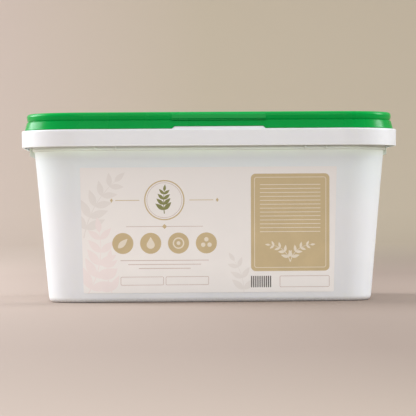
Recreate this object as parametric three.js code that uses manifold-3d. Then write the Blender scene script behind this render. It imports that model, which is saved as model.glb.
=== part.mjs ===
// Rectangular plastic tub with a press-on lid and a label on its front wall.
// Millimetres, +Z up. The origin is on the floor under the middle of the tub, the label faces -Y.
import * as THREE from "three";
import { mergeVertices } from "three/addons/utils/BufferGeometryUtils.js";
import Module from "manifold-3d";

const wasm = await Module();
wasm.setup();

// Plan of the rim, which every other outline follows at an inset
const RIM_WIDTH = 396;
const RIM_DEPTH = 296;
const RIM_CORNER = 64;
const CORNER_STEPS = 10;
const ARC_STEPS = 2;

// Heights up the front
const RIM_TOP = 180.4;
const SKIRT_BOTTOM = 162.6;
const SHOULDER_BOTTOM = 158.6;
const LIP_TOP = 194;
const LID_TOP = 198;

// Tub wall, floor and foot
const BASE_INSET = 28.2;
const WALL_DRAFT = THREE.MathUtils.degToRad(5.27);
const WALL = 1.9;
const FLOOR_TOP = 3.7;
const FLOOR_FILLET = 6;
const BOTTOM_FILLET = 6;
const FOOT_INSET = 47;
const BASE_RECESS = 1.5;
const RECESS_SLOPE = 1.2;

// Rim skirt, neck and sealing lip
const SKIRT_WALL = 1.8;
const SKIRT_DRAFT = 0.35;
const SKIRT_EDGE = 0.6;
const RIM_EDGE = 1.6;
const RIM_WEB = 2;
const NECK_INSET = 11.4;
const SHOULDER_ROUND = 1.2;
const LIP_INSET = 10.2;
const LIP_WALL = 2;

// Nesting lugs under the rim, in pairs on each side
const LUG_INSET = 7.4;
const LUG_ROOT = 1;
const LUG_THICKNESS = 1.8;
const LUG_NOSE = 1.2;
const LONG_SIDE_LUGS = [-120.3, -98.4, 98.4, 120.3];
const LONG_SIDE_LUG_BOTTOM = 159;
const SHORT_SIDE_LUGS = [-56, -34, 34, 56];
const SHORT_SIDE_LUG_BOTTOM = 154;

// Lid tiers, from the edge that sits on the rim up to the bead
const FIT_GAP = 0.3;
const LID_WALL = 1.7;
const LOWER_TIER_FOOT = 3.4;
const LOWER_TIER_HEAD = 5.5;
const LOWER_TIER_TOP = 188.9;
const LOWER_TIER_ROUND = 0.5;
const VALLEY_INSET = 6.9;
const VALLEY_HEIGHT = 189.6;
const UPPER_TIER_INSET = 5.5;
const UPPER_TIER_TUCK = 0.7;
const UPPER_TIER_BOTTOM = 190.5;
const BEAD_OUTER_ROUND = 3.2;
const BEAD_INNER_ROUND = 1.9;
const BEAD_INNER_INSET = 14;
const BEAD_INNER_DRAFT = 1;

// Lid top: stacking seat with a low locating ridge, and a raised middle panel
const SEAT_HEIGHT = 190;
const SEAT_OUTER_INSET = 16.6;
const RIDGE_INSET = 26;
const RIDGE_WIDTH = 2.4;
const RIDGE_HEIGHT = 0.9;
const PANEL_INSET = 50;
const PANEL_RISE = 1.2;

// Lid underside: channel over the tub's lip, and the plug inside it
const CHANNEL_INSET = 8.6;
const CHANNEL_CHAMFER = 1;
const PLUG_INSET = 12.6;
const PLUG_DRAFT = 0.3;
const PLUG_WALL = 1.6;
const PLUG_BOTTOM = 182.5;

// Finger tab on the lid's front: a raised pad with a fin below it, above a pry notch
const TAB_CENTRE = 8.4;
const TAB_WIDTH = 98;
const TAB_ROOT = 1.2;
const PAD_PROUD = 0.8;
const PAD_BOTTOM = 190.8;
const PAD_TOP = 196.2;
const PAD_ROUND = 0.5;
const FIN_PROUD = 1.2;
const FIN_BOTTOM = 189.5;
const FIN_TOP = 190.3;
const NOTCH_TOP = 183.1;
const NOTCH_ENDS = 3;

// Ledge on the tub's rim that fills the pry notch
const LEDGE_INSET = 3.2;
const LEDGE_GAP = 0.4;
const LEDGE_END_GAP = 0.6;
const LEDGE_ROOT = 0.5;

// Moulding gate marks in the middle of the base and the lid
const GATE_RADIUS = 5;
const GATE_HEIGHT = 0.7;
const GATE_SIDES = 24;

// Label on the front wall, set a little left of the middle
const LABEL_CENTRE = -2.4;
const LABEL_TOP = 140.9;
const LABEL_BOTTOM = 10.1;
const LABEL_TOP_WIDTH = 267.2;
const LABEL_BOTTOM_WIDTH = 261.2;
const LABEL_THICKNESS = 0.4;
const LABEL_CORNER = 1;

// Colour and roughness of the three pieces
const TUB_FINISH = { color: 0xe4e5e2, roughness: 0.4, metalness: 0 };
const LID_FINISH = { color: 0x089a46, roughness: 0.25, metalness: 0 };
const LABEL_FINISH = { color: 0xe8e1da, roughness: 0.5, metalness: 0 };

const HALF_WIDTH = RIM_WIDTH / 2;
const HALF_DEPTH = RIM_DEPTH / 2;
const CORNER_X = HALF_WIDTH - RIM_CORNER;
const CORNER_Y = HALF_DEPTH - RIM_CORNER;
const CORNERS = 4;
const RIGHT = Math.PI / 2;
const STRAIGHT = Math.PI;
const THREE_QUARTERS = 3 * RIGHT;

// Inset of the tapered wall's outer face at a height
function wallInset(z) {
  return BASE_INSET - Math.tan(WALL_DRAFT) * z;
}

// Points once round the rim's plan, moved in by an inset, at a height
function ring(inset, z) {
  const radius = RIM_CORNER - inset;
  const points = [];
  for (let corner = 0; corner < CORNERS; corner += 1) {
    const middle = (corner + 0.5) * RIGHT;
    const centreX = Math.sign(Math.cos(middle)) * CORNER_X;
    const centreY = Math.sign(Math.sin(middle)) * CORNER_Y;
    for (let step = 0; step <= CORNER_STEPS; step += 1) {
      const angle = (corner + step / CORNER_STEPS) * RIGHT;
      points.push(centreX + radius * Math.cos(angle), centreY + radius * Math.sin(angle), z);
    }
  }
  return points;
}

// Closed body whose section, as insets and heights, runs from the middle of its top face
// out and round to the middle of its under face
function sweptBody(section) {
  const outline = section.getPoints(ARC_STEPS);
  const rings = outline.map((point) => ring(point.x, point.y));
  const count = rings[0].length / 3;
  const positions = rings.flat();
  const triangles = [];
  for (let level = 0; level + 1 < rings.length; level += 1) {
    for (let step = 0; step < count; step += 1) {
      const next = (step + 1) % count;
      const inner = level * count;
      const outer = inner + count;
      triangles.push(inner + step, outer + step, outer + next);
      triangles.push(inner + step, outer + next, inner + next);
    }
  }
  const topMiddle = positions.length / 3;
  const underMiddle = topMiddle + 1;
  const underRing = (rings.length - 1) * count;
  positions.push(0, 0, outline[0].y, 0, 0, outline[outline.length - 1].y);
  for (let step = 0; step < count; step += 1) {
    const next = (step + 1) % count;
    triangles.push(topMiddle, step, next);
    triangles.push(underMiddle, underRing + next, underRing + step);
  }
  const geometry = new THREE.BufferGeometry();
  geometry.setAttribute("position", new THREE.Float32BufferAttribute(positions, 3));
  geometry.setIndex(triangles);
  return geometry;
}

// Solid for joining and cutting, from a closed geometry
function toSolid(geometry) {
  const bare = geometry.clone();
  bare.deleteAttribute("normal");
  bare.deleteAttribute("uv");
  const merged = mergeVertices(bare);
  const vertProperties = new Float32Array(merged.getAttribute("position").array);
  const triVerts = new Uint32Array(merged.getIndex().array);
  return new wasm.Manifold(new wasm.Mesh({ numProp: 3, vertProperties, triVerts }));
}

// Geometry of a joined or cut solid
function toGeometry(solid) {
  const mesh = solid.getMesh();
  const geometry = new THREE.BufferGeometry();
  geometry.setAttribute("position", new THREE.Float32BufferAttribute(mesh.vertProperties, 3));
  geometry.setIndex(Array.from(mesh.triVerts));
  geometry.computeVertexNormals();
  return geometry;
}

// Flat plate from an outline, with no bevel
function plate(outline, depth) {
  return new THREE.ExtrudeGeometry(outline, { depth, bevelEnabled: false, curveSegments: ARC_STEPS });
}

// Bar along X behind the front face, from an outline of insets and heights
function frontBar(outline, length, centreX) {
  const axes = new THREE.Matrix4();
  axes.makeBasis(new THREE.Vector3(0, 1, 0), new THREE.Vector3(0, 0, 1), new THREE.Vector3(1, 0, 0));
  const bar = plate(outline, length).translate(0, 0, -length / 2).applyMatrix4(axes);
  return bar.translate(centreX, -HALF_DEPTH, 0);
}

// Named mesh with its own material
function piece(name, geometry, finish) {
  const mesh = new THREE.Mesh(geometry, new THREE.MeshStandardMaterial(finish));
  mesh.name = name;
  return mesh;
}

// Tub section: floor, inner wall, sealing lip, rim ledge, skirt, neck, shoulder, wall and foot
function tubSection() {
  const section = new THREE.Path();
  const filletTop = FLOOR_TOP + FLOOR_FILLET;
  const floorEdge = wallInset(filletTop) + WALL + FLOOR_FILLET;
  section.moveTo(FOOT_INSET + RECESS_SLOPE, FLOOR_TOP);
  section.absarc(floorEdge, filletTop, FLOOR_FILLET, THREE_QUARTERS, STRAIGHT, true);
  section.lineTo(wallInset(SHOULDER_BOTTOM) + WALL, SHOULDER_BOTTOM);
  section.lineTo(NECK_INSET + WALL, SHOULDER_BOTTOM + WALL);
  const lipRound = LIP_WALL / 2;
  section.absarc(LIP_INSET + lipRound, LIP_TOP - lipRound, lipRound, 0, STRAIGHT, false);
  section.lineTo(LIP_INSET, RIM_TOP);
  section.absarc(RIM_EDGE, RIM_TOP - RIM_EDGE, RIM_EDGE, RIGHT, STRAIGHT, false);
  section.lineTo(SKIRT_DRAFT, SKIRT_BOTTOM + SKIRT_EDGE);
  section.lineTo(SKIRT_DRAFT + SKIRT_EDGE, SKIRT_BOTTOM);
  section.lineTo(SKIRT_DRAFT + SKIRT_WALL, SKIRT_BOTTOM);
  section.lineTo(SKIRT_WALL, RIM_TOP - RIM_WEB);
  section.lineTo(NECK_INSET, RIM_TOP - RIM_WEB);
  const shoulderInset = NECK_INSET + SHOULDER_ROUND;
  const shoulderHeight = SHOULDER_BOTTOM + SHOULDER_ROUND;
  section.absarc(shoulderInset, shoulderHeight, SHOULDER_ROUND, STRAIGHT, THREE_QUARTERS, false);
  section.lineTo(wallInset(SHOULDER_BOTTOM), SHOULDER_BOTTOM);
  const footEdge = wallInset(BOTTOM_FILLET) + BOTTOM_FILLET;
  section.absarc(footEdge, BOTTOM_FILLET, BOTTOM_FILLET, STRAIGHT, THREE_QUARTERS, false);
  section.lineTo(FOOT_INSET, 0);
  section.lineTo(FOOT_INSET + RECESS_SLOPE, BASE_RECESS);
  return section;
}

// Nesting lug in the middle of the front side, reaching down to a height and rooted in the wall
function lug(bottom) {
  const head = RIM_TOP - RIM_WEB / 2;
  const neckRoot = NECK_INSET + LUG_ROOT;
  const wallRoot = Math.max(NECK_INSET, wallInset(bottom)) + LUG_ROOT;
  const outline = new THREE.Shape();
  outline.moveTo(LUG_INSET, head);
  outline.lineTo(LUG_INSET, bottom + LUG_NOSE);
  outline.lineTo(LUG_INSET + LUG_NOSE, bottom);
  outline.lineTo(wallRoot, bottom);
  outline.lineTo(neckRoot, SKIRT_BOTTOM);
  outline.lineTo(neckRoot, head);
  return frontBar(outline, LUG_THICKNESS, 0);
}

// Lugs along the two long sides and the two short sides
function lugs() {
  const placed = [];
  const sideShift = HALF_WIDTH - HALF_DEPTH;
  for (const along of LONG_SIDE_LUGS) {
    placed.push(lug(LONG_SIDE_LUG_BOTTOM).translate(along, 0, 0));
    placed.push(lug(LONG_SIDE_LUG_BOTTOM).rotateZ(STRAIGHT).translate(along, 0, 0));
  }
  for (const along of SHORT_SIDE_LUGS) {
    placed.push(lug(SHORT_SIDE_LUG_BOTTOM).rotateZ(RIGHT).translate(sideShift, along, 0));
    placed.push(lug(SHORT_SIDE_LUG_BOTTOM).rotateZ(-RIGHT).translate(-sideShift, along, 0));
  }
  return placed;
}

// Small round gate mark, half sunk, on the axis at a height
function gateMark(z) {
  const disc = new THREE.CylinderGeometry(GATE_RADIUS, GATE_RADIUS, 2 * GATE_HEIGHT, GATE_SIDES);
  return disc.rotateX(RIGHT).translate(0, 0, z);
}

// Half the pry notch's length at a height, less at the top because its ends slope
function notchHalf(z) {
  return TAB_WIDTH / 2 - NOTCH_ENDS * (z - RIM_TOP) / (NOTCH_TOP - RIM_TOP);
}

// Block under the finger tab with sloped ends, between two heights and two insets
function notchBlock(low, high, near, far, endGap) {
  const halfLow = notchHalf(low) - endGap;
  const halfHigh = notchHalf(high) - endGap;
  const outline = new THREE.Shape();
  outline.moveTo(-halfLow, low);
  outline.lineTo(halfLow, low);
  outline.lineTo(halfHigh, high);
  outline.lineTo(-halfHigh, high);
  return plate(outline, far - near).rotateX(RIGHT).translate(TAB_CENTRE, far - HALF_DEPTH, 0);
}

// Ledge in the pry notch, rooted in the rim and the sealing lip
function pryLedge() {
  const far = LIP_INSET + LEDGE_ROOT;
  return notchBlock(RIM_TOP - LEDGE_ROOT, NOTCH_TOP - LEDGE_GAP, LEDGE_INSET, far, LEDGE_END_GAP);
}

// White tub: swept wall and rim with the lugs, the pry ledge and the gate mark joined on
function tub() {
  let solid = toSolid(sweptBody(tubSection()));
  for (const geometry of lugs()) {
    solid = solid.add(toSolid(geometry));
  }
  solid = solid.add(toSolid(pryLedge()));
  solid = solid.add(toSolid(gateMark(BASE_RECESS)));
  return piece("tub", toGeometry(solid), TUB_FINISH);
}

// Top of the lid's section: raised panel, seat, ridge and bead, out to the upper tier
function lidTop(section) {
  const panelTop = SEAT_HEIGHT + PANEL_RISE;
  const ridgeTop = SEAT_HEIGHT + RIDGE_HEIGHT;
  const ridgeSlope = RIDGE_HEIGHT / 2;
  section.moveTo(PANEL_INSET, panelTop);
  section.lineTo(PANEL_INSET - PANEL_RISE, SEAT_HEIGHT);
  section.lineTo(RIDGE_INSET + RIDGE_WIDTH, SEAT_HEIGHT);
  section.lineTo(RIDGE_INSET + RIDGE_WIDTH - ridgeSlope, ridgeTop);
  section.lineTo(RIDGE_INSET + ridgeSlope, ridgeTop);
  section.lineTo(RIDGE_INSET, SEAT_HEIGHT);
  section.lineTo(SEAT_OUTER_INSET, SEAT_HEIGHT);
  section.lineTo(BEAD_INNER_INSET + BEAD_INNER_DRAFT, panelTop);
  const innerInset = BEAD_INNER_INSET - BEAD_INNER_ROUND;
  section.absarc(innerInset, LID_TOP - BEAD_INNER_ROUND, BEAD_INNER_ROUND, 0, RIGHT, false);
  const outerInset = UPPER_TIER_INSET + BEAD_OUTER_ROUND;
  section.absarc(outerInset, LID_TOP - BEAD_OUTER_ROUND, BEAD_OUTER_ROUND, RIGHT, STRAIGHT, false);
}

// Outside of the lid's section: tucked-in upper tier, valley and flared lower tier, down to the rim
function lidTiers(section) {
  const skirtFoot = RIM_TOP + FIT_GAP;
  const tuckStart = (LID_TOP - BEAD_OUTER_ROUND + UPPER_TIER_BOTTOM) / 2;
  const tierFoot = UPPER_TIER_INSET + UPPER_TIER_TUCK;
  section.quadraticCurveTo(UPPER_TIER_INSET, tuckStart, tierFoot, UPPER_TIER_BOTTOM);
  section.lineTo(VALLEY_INSET, VALLEY_HEIGHT);
  section.lineTo(LOWER_TIER_HEAD + LOWER_TIER_ROUND, LOWER_TIER_TOP);
  section.lineTo(LOWER_TIER_HEAD, LOWER_TIER_TOP - LOWER_TIER_ROUND);
  section.lineTo(LOWER_TIER_FOOT, skirtFoot + LOWER_TIER_ROUND);
  section.lineTo(LOWER_TIER_FOOT, skirtFoot);
}

// Inside of the lid's section: skirt, channel, plug and the underside of the panel
function lidUnderside(section) {
  const channelTop = LID_TOP - LID_WALL;
  const channelSide = channelTop - CHANNEL_CHAMFER;
  const seatUnder = SEAT_HEIGHT - LID_WALL;
  const plugInner = PLUG_INSET + PLUG_WALL;
  section.lineTo(LOWER_TIER_FOOT + LID_WALL, RIM_TOP + FIT_GAP);
  section.lineTo(LOWER_TIER_HEAD + LID_WALL, LOWER_TIER_TOP - 2 * LID_WALL);
  section.lineTo(CHANNEL_INSET, LOWER_TIER_TOP);
  section.lineTo(CHANNEL_INSET, channelSide);
  section.lineTo(CHANNEL_INSET + CHANNEL_CHAMFER, channelTop);
  section.lineTo(PLUG_INSET - CHANNEL_CHAMFER, channelTop);
  section.lineTo(PLUG_INSET, channelSide);
  section.lineTo(PLUG_INSET + PLUG_DRAFT, PLUG_BOTTOM);
  section.lineTo(plugInner, PLUG_BOTTOM);
  section.lineTo(plugInner + PLUG_DRAFT, seatUnder);
  section.lineTo(PANEL_INSET - 2 * PANEL_RISE, seatUnder);
  section.lineTo(PANEL_INSET - PANEL_RISE, seatUnder + PANEL_RISE);
}

// Raised pad of the finger tab, sunk into the upper tier, with a sloped top edge
function tabPad() {
  const front = UPPER_TIER_INSET - PAD_PROUD;
  const root = UPPER_TIER_INSET + TAB_ROOT;
  const outline = new THREE.Shape();
  outline.moveTo(root, PAD_BOTTOM);
  outline.lineTo(root, PAD_TOP);
  outline.lineTo(UPPER_TIER_INSET, PAD_TOP);
  outline.lineTo(front, PAD_TOP - PAD_PROUD);
  outline.lineTo(front, PAD_BOTTOM + PAD_ROUND);
  outline.lineTo(front + PAD_ROUND, PAD_BOTTOM);
  return frontBar(outline, TAB_WIDTH, TAB_CENTRE);
}

// Thin fin along the valley under the pad
function tabFin() {
  const front = UPPER_TIER_INSET - FIN_PROUD;
  const root = VALLEY_INSET + TAB_ROOT / 2;
  const outline = new THREE.Shape();
  outline.moveTo(root, FIN_BOTTOM);
  outline.lineTo(root, FIN_TOP);
  outline.lineTo(front, FIN_TOP);
  outline.lineTo(front, FIN_BOTTOM);
  return frontBar(outline, TAB_WIDTH, TAB_CENTRE);
}

// Green lid: swept profile with the finger tab, the pry notch and the gate mark
function lid() {
  const section = new THREE.Path();
  lidTop(section);
  lidTiers(section);
  lidUnderside(section);
  let solid = toSolid(sweptBody(section));
  solid = solid.add(toSolid(tabPad()));
  solid = solid.add(toSolid(tabFin()));
  solid = solid.subtract(toSolid(notchBlock(RIM_TOP, NOTCH_TOP, 0, CHANNEL_INSET, 0)));
  solid = solid.add(toSolid(gateMark(SEAT_HEIGHT + PANEL_RISE)));
  return piece("lid", toGeometry(solid), LID_FINISH);
}

// Label: thin film with rounded corners, laid on the sloping front wall
function label() {
  const slope = Math.cos(WALL_DRAFT);
  const low = LABEL_BOTTOM / slope;
  const high = LABEL_TOP / slope;
  const halfLow = LABEL_BOTTOM_WIDTH / 2;
  const halfHigh = LABEL_TOP_WIDTH / 2;
  const outline = new THREE.Shape();
  outline.moveTo(LABEL_CORNER - halfLow, low);
  outline.lineTo(halfLow - LABEL_CORNER, low);
  outline.quadraticCurveTo(halfLow, low, halfLow, low + LABEL_CORNER);
  outline.lineTo(halfHigh, high - LABEL_CORNER);
  outline.quadraticCurveTo(halfHigh, high, halfHigh - LABEL_CORNER, high);
  outline.lineTo(LABEL_CORNER - halfHigh, high);
  outline.quadraticCurveTo(-halfHigh, high, -halfHigh, high - LABEL_CORNER);
  outline.lineTo(-halfLow, low + LABEL_CORNER);
  outline.quadraticCurveTo(-halfLow, low, LABEL_CORNER - halfLow, low);
  const film = piece("label", plate(outline, LABEL_THICKNESS).translate(0, 0, FIT_GAP), LABEL_FINISH);
  film.rotation.x = RIGHT + WALL_DRAFT;
  film.position.set(LABEL_CENTRE, BASE_INSET - HALF_DEPTH, 0);
  return film;
}

const part = new THREE.Group();
part.add(tub(), lid(), label());
export default part;
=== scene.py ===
"""Blender scene of a rectangular plastic tub with a press-on lid and a printed film label.

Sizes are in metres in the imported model's frame: +Z up, the label facing -Y, and the origin
on the floor under the middle of the tub.
"""

import logging
import math
from dataclasses import dataclass, field
from enum import Enum
from typing import Iterable, Optional, Sequence

import bmesh
import bpy
from mathutils import Matrix, Vector
from mathutils.geometry import delaunay_2d_cdt


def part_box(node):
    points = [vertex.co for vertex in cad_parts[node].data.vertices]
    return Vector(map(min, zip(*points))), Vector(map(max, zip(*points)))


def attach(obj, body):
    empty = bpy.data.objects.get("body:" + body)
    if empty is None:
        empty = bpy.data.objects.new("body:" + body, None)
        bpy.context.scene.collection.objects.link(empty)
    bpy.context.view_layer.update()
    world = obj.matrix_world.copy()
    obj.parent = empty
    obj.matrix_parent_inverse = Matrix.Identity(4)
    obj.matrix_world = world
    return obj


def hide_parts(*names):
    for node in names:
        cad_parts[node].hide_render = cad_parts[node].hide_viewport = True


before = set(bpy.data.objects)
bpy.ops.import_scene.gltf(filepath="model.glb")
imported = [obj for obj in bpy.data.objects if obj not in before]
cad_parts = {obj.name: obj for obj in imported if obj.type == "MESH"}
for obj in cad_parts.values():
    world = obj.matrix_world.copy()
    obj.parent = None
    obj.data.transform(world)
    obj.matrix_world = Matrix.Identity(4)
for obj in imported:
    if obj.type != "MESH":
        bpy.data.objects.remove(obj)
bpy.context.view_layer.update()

LOG = logging.getLogger("tub")
BODY = "root"
IMAGE_SIDE = 416
MM = 0.001
RIM_TOP = 180.4 * MM
RIGHT_ANGLE = math.pi / 2
ARC_STEP = math.radians(12)
SHARP_ANGLE = math.radians(38)
BEVEL_STEPS = 3
ROUND_PROFILE = 0.5
MIX_COLOUR_INPUTS = (6, 7)
MIX_COLOUR_OUTPUT = 2
INSIDE_OUTLINES = 1
MERGE_DISTANCE = 1e-7
LEAF_SKEW = 0.8
DROP_POINT = 3
DROP_SLIMMING = 0.6

Colour = tuple[float, float, float]
Place = tuple[float, float, float]
Spot = tuple[float, float]
Span = tuple[float, float]
Tone = tuple[float, Colour]

FULL: Span = (0.0, 1.0)


@dataclass(frozen=True)
class Turn:
    """Corner of a moulding's section.

    Attributes:
        inset: Distance in from the rim's plan.
        height: Height above the floor.
        radius: Radius that the corner is rounded to.
    """

    inset: float
    height: float
    radius: float = 0.0


def round_corner(before: Vector, corner: Vector, after: Vector, radius: float) -> list[Vector]:
    """Replace one corner of a flat outline by an arc.

    Args:
        before: Point before the corner.
        corner: The corner itself.
        after: Point after the corner.
        radius: Radius of the arc, or 0 to keep the corner sharp.

    Returns:
        Points along the arc, or the corner alone.
    """
    if radius <= 0:
        return [corner]
    to_before = (before - corner).normalized()
    to_after = (after - corner).normalized()
    half = to_before.angle(to_after) / 2
    reach = radius / math.tan(half)
    centre = corner + (to_before + to_after).normalized() * (radius / math.sin(half))
    start = corner + to_before * reach - centre
    end = corner + to_after * reach - centre
    sweep = math.copysign(start.angle(end), start.cross(end))
    steps = max(2, math.ceil(abs(sweep) / ARC_STEP))
    return [centre + Matrix.Rotation(sweep * step / steps, 2) @ start for step in range(steps + 1)]


def round_section(turns: Sequence[Turn]) -> list[Vector]:
    """Round the corners of an open section.

    Args:
        turns: Corners in order, of which the first and last stay sharp.

    Returns:
        Points of inset and height along the rounded section.
    """
    spots = [Vector((turn.inset, turn.height)) for turn in turns]
    points = [spots[0]]
    for index in range(1, len(spots) - 1):
        points += round_corner(spots[index - 1], spots[index], spots[index + 1], turns[index].radius)
    points.append(spots[-1])
    return points


def round_outline(spots: Sequence[Spot], radius: float) -> list[Vector]:
    """Round every corner of a closed flat outline.

    Args:
        spots: Corners in order.
        radius: Radius of every corner.

    Returns:
        Points along the rounded outline.
    """
    corners = [Vector(spot) for spot in spots]
    points = []
    for index, corner in enumerate(corners):
        after = corners[(index + 1) % len(corners)]
        points += round_corner(corners[index - 1], corner, after, radius)
    return points


def round_edges(mesh: bmesh.types.BMesh, edges: Sequence[bmesh.types.BMEdge], width: float) -> None:
    """Round over some edges of a mesh.

    Args:
        mesh: Mesh to change.
        edges: Edges to round.
        width: Width that they are rounded over.
    """
    bmesh.ops.bevel(mesh, geom=edges, offset=width, segments=BEVEL_STEPS, profile=ROUND_PROFILE,
                    affect="EDGES", clamp_overlap=True)


def band_rings(mesh: bmesh.types.BMesh, rings: Sequence[Sequence[bmesh.types.BMVert]]) -> None:
    """Join neighbouring rings of vertices by bands of faces.

    Args:
        mesh: Mesh to change.
        rings: Rings with equally many vertices, in order.
    """
    for inner, outer in zip(rings, rings[1:]):
        for step in range(len(inner)):
            before = step - 1
            mesh.faces.new((inner[before], outer[before], outer[step], inner[step]))


def prism(ends: Sequence[Sequence[Place]], bevel: float) -> bmesh.types.BMesh:
    """Closed body between two end faces with matching corners.

    Args:
        ends: Corners of the two end faces.
        bevel: Width that its edges are rounded over, or 0 for sharp edges.

    Returns:
        The body's mesh.
    """
    mesh = bmesh.new()
    near, far = [[mesh.verts.new(corner) for corner in end] for end in ends]
    mesh.faces.new(near)
    mesh.faces.new(far[::-1])
    for index in range(len(near)):
        before = index - 1
        mesh.faces.new((near[before], near[index], far[index], far[before]))
    if bevel > 0:
        round_edges(mesh, mesh.edges[:], bevel)
    return mesh


@dataclass(frozen=True)
class RimPlan:
    """Rounded rectangle of the tub's rim, which every other outline follows at an inset.

    Attributes:
        half_width: Half the rim's width along X.
        half_depth: Half the rim's depth along Y.
        corner: Radius of the rim's corners.
        corner_steps: Faces round each corner.
    """

    half_width: float
    half_depth: float
    corner: float = 64 * MM
    corner_steps: int = 24

    @classmethod
    def from_frame(cls) -> "RimPlan":
        """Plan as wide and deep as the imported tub."""
        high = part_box("tub")[1]
        return cls(high.x, high.y)

    def ring(self, inset: float, height: float) -> list[Vector]:
        """Points once round the plan, anticlockwise from above.

        Args:
            inset: Distance in from the plan.
            height: Height of the ring.

        Returns:
            The ring's points.
        """
        radius = self.corner - inset
        points = []
        for quarter in range(4):
            middle = (quarter + 0.5) * RIGHT_ANGLE
            centre_x = math.copysign(self.half_width - self.corner, math.cos(middle))
            centre_y = math.copysign(self.half_depth - self.corner, math.sin(middle))
            for step in range(self.corner_steps + 1):
                angle = (quarter + step / self.corner_steps) * RIGHT_ANGLE
                x = centre_x + radius * math.cos(angle)
                y = centre_y + radius * math.sin(angle)
                points.append(Vector((x, y, height)))
        return points

    def sweep(self, turns: Sequence[Turn]) -> bmesh.types.BMesh:
        """Closed body whose section runs from the middle of its top face to that of its under face.

        Args:
            turns: Corners of the section.

        Returns:
            The swept mesh.
        """
        mesh = bmesh.new()
        rings = []
        for point in round_section(turns):
            rings.append([mesh.verts.new(spot) for spot in self.ring(point.x, point.y)])
        band_rings(mesh, rings)
        mesh.faces.new(rings[0])
        mesh.faces.new(rings[-1][::-1])
        return mesh

    def front_bar(self, outline: Sequence[Spot], length: float, centre: float,
                  bevel: float = 0.0) -> bmesh.types.BMesh:
        """Straight bar along the front side.

        Args:
            outline: Insets and heights of the bar's end.
            length: Length along X.
            centre: Middle of the bar along X.
            bevel: Width that its edges are rounded over, or 0 for sharp edges.

        Returns:
            The bar's mesh.
        """
        ends = []
        for side in (-length / 2, length / 2):
            ends.append([(centre + side, inset - self.half_depth, height) for inset, height in outline])
        return prism(ends, bevel)


@dataclass(frozen=True)
class PryNotch:
    """Notch with sloped ends under the lid's finger tab, which a ledge on the tub's rim fills.

    Attributes:
        plan: Plan of the rim.
        centre: Middle of the notch along X.
        width: Width of its foot.
        bottom: Height of its foot.
        top: Height of its upper edge.
        ends: How far each end slopes in.
    """

    plan: RimPlan
    centre: float = 8.4 * MM
    width: float = 98 * MM
    bottom: float = RIM_TOP
    top: float = 183.1 * MM
    ends: float = 3 * MM

    def half(self, height: float) -> float:
        """Half the notch's width at a height."""
        return self.width / 2 - self.ends * (height - self.bottom) / (self.top - self.bottom)

    def block(self, heights: Span, insets: Span, end_gap: float = 0.0,
              bevel: float = 0.0) -> bmesh.types.BMesh:
        """Block in the notch with its sloped ends.

        Args:
            heights: Lower and upper face.
            insets: Front and back face.
            end_gap: Distance that it stays clear of the notch's ends.
            bevel: Width that its edges are rounded over, or 0 for sharp edges.

        Returns:
            The block's mesh.
        """
        low, high = heights
        low_half, high_half = self.half(low) - end_gap, self.half(high) - end_gap
        corners = ((-low_half, low), (low_half, low), (high_half, high), (-high_half, high))
        ends = []
        for inset in insets:
            ends.append([(self.centre + x, inset - self.plan.half_depth, z) for x, z in corners])
        return prism(ends, bevel)


@dataclass(frozen=True)
class GateMark:
    """Small round mark on the tub's axis, where the plastic entered the mould.

    Attributes:
        radius: Radius of the mark.
        height: How far it stands out of its face, and how deep it is rooted.
        sides: Sides that it is made with.
    """

    radius: float = 5 * MM
    height: float = 0.7 * MM
    sides: int = 48

    def mesh(self, face: float) -> bmesh.types.BMesh:
        """Mark on a level face, with rounded edges.

        Args:
            face: Height of the face.

        Returns:
            The mark's mesh.
        """
        mesh = bmesh.new()
        bmesh.ops.create_cone(mesh, cap_ends=True, segments=self.sides, radius1=self.radius,
                              radius2=self.radius, depth=2 * self.height,
                              matrix=Matrix.Translation((0, 0, face)))
        level = [edge for edge in mesh.edges
                 if abs(edge.verts[0].co.z - edge.verts[1].co.z) < self.height]
        round_edges(mesh, level, self.height / 2)
        return mesh


def join_meshes(meshes: Iterable[bmesh.types.BMesh]) -> bmesh.types.BMesh:
    """Put several meshes into one.

    Args:
        meshes: Meshes to use up.

    Returns:
        One mesh with all their faces.
    """
    joined = bmesh.new()
    for mesh in meshes:
        carrier = bpy.data.meshes.new("carrier")
        mesh.to_mesh(carrier)
        mesh.free()
        joined.from_mesh(carrier)
        bpy.data.meshes.remove(carrier)
    return joined


def make_object(name: str, mesh: bmesh.types.BMesh) -> bpy.types.Object:
    """Make a scene object of a finished mesh.

    Args:
        name: Name of the object.
        mesh: Mesh to use up.

    Returns:
        The object, linked into the scene.
    """
    bmesh.ops.recalc_face_normals(mesh, faces=mesh.faces)
    data = bpy.data.meshes.new(name)
    mesh.to_mesh(data)
    mesh.free()
    made = bpy.data.objects.new(name, data)
    bpy.context.scene.collection.objects.link(made)
    return made


def apply_modifiers(piece: bpy.types.Object) -> None:
    """Turn a piece's modifiers into its mesh.

    Args:
        piece: Piece that keeps the result and loses its modifiers.
    """
    graph = bpy.context.evaluated_depsgraph_get()
    result = bpy.data.meshes.new_from_object(piece.evaluated_get(graph))
    result.name = piece.name
    spent = piece.data
    piece.modifiers.clear()
    piece.data = result
    bpy.data.meshes.remove(spent)


class Join(Enum):
    """Ways to combine a moulding with another solid."""

    ADD = "UNION"
    CUT = "DIFFERENCE"


def combine(piece: bpy.types.Object, mesh: bmesh.types.BMesh, way: Join) -> None:
    """Add a solid to a piece, or cut it out.

    Args:
        piece: Piece to change.
        mesh: Solid to use up.
        way: Whether it is added or cut out.
    """
    tool = make_object(piece.name + "_tool", mesh)
    modifier = piece.modifiers.new(way.name, "BOOLEAN")
    modifier.operation = way.value
    modifier.solver = "EXACT"
    modifier.object = tool
    apply_modifiers(piece)
    spent = tool.data
    bpy.data.objects.remove(tool)
    bpy.data.meshes.remove(spent)


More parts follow.
